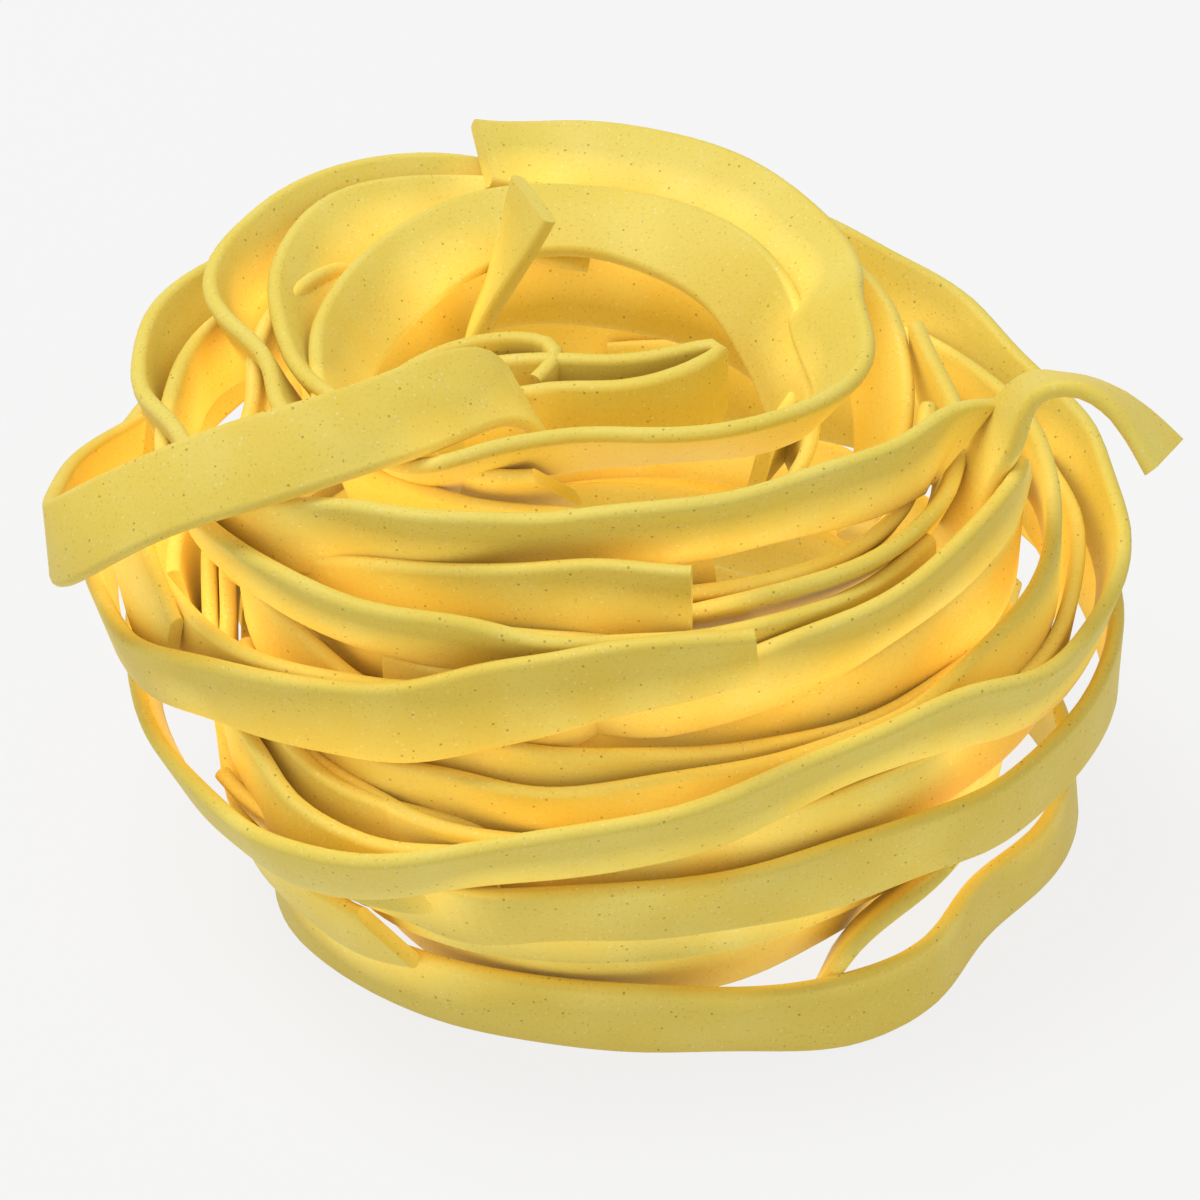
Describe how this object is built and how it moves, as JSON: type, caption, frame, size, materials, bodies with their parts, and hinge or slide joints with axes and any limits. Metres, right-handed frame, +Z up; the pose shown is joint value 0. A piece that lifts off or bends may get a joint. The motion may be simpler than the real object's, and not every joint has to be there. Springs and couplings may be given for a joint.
{
  "type": "dry pasta nest",
  "caption": "Nest of dry egg pasta: flat ribbons wound into an oval ring bundle with an open middle, loose ends crossing its top.",
  "frame": {"origin": "centre of the nest's box, on the table it stands on", "axes": "+Z up out of the open middle, +X to the nest's right as the picture shows it, where the arched loose end stands out, -Y towards the viewer"},
  "size_m": [0.0754, 0.0626, 0.0444],
  "materials": {
    "dry_egg_pasta": "matte"
  },
  "bodies": {
    "root": {"pasta_nest": "dry_egg_pasta"}
  },
  "joints": []
}
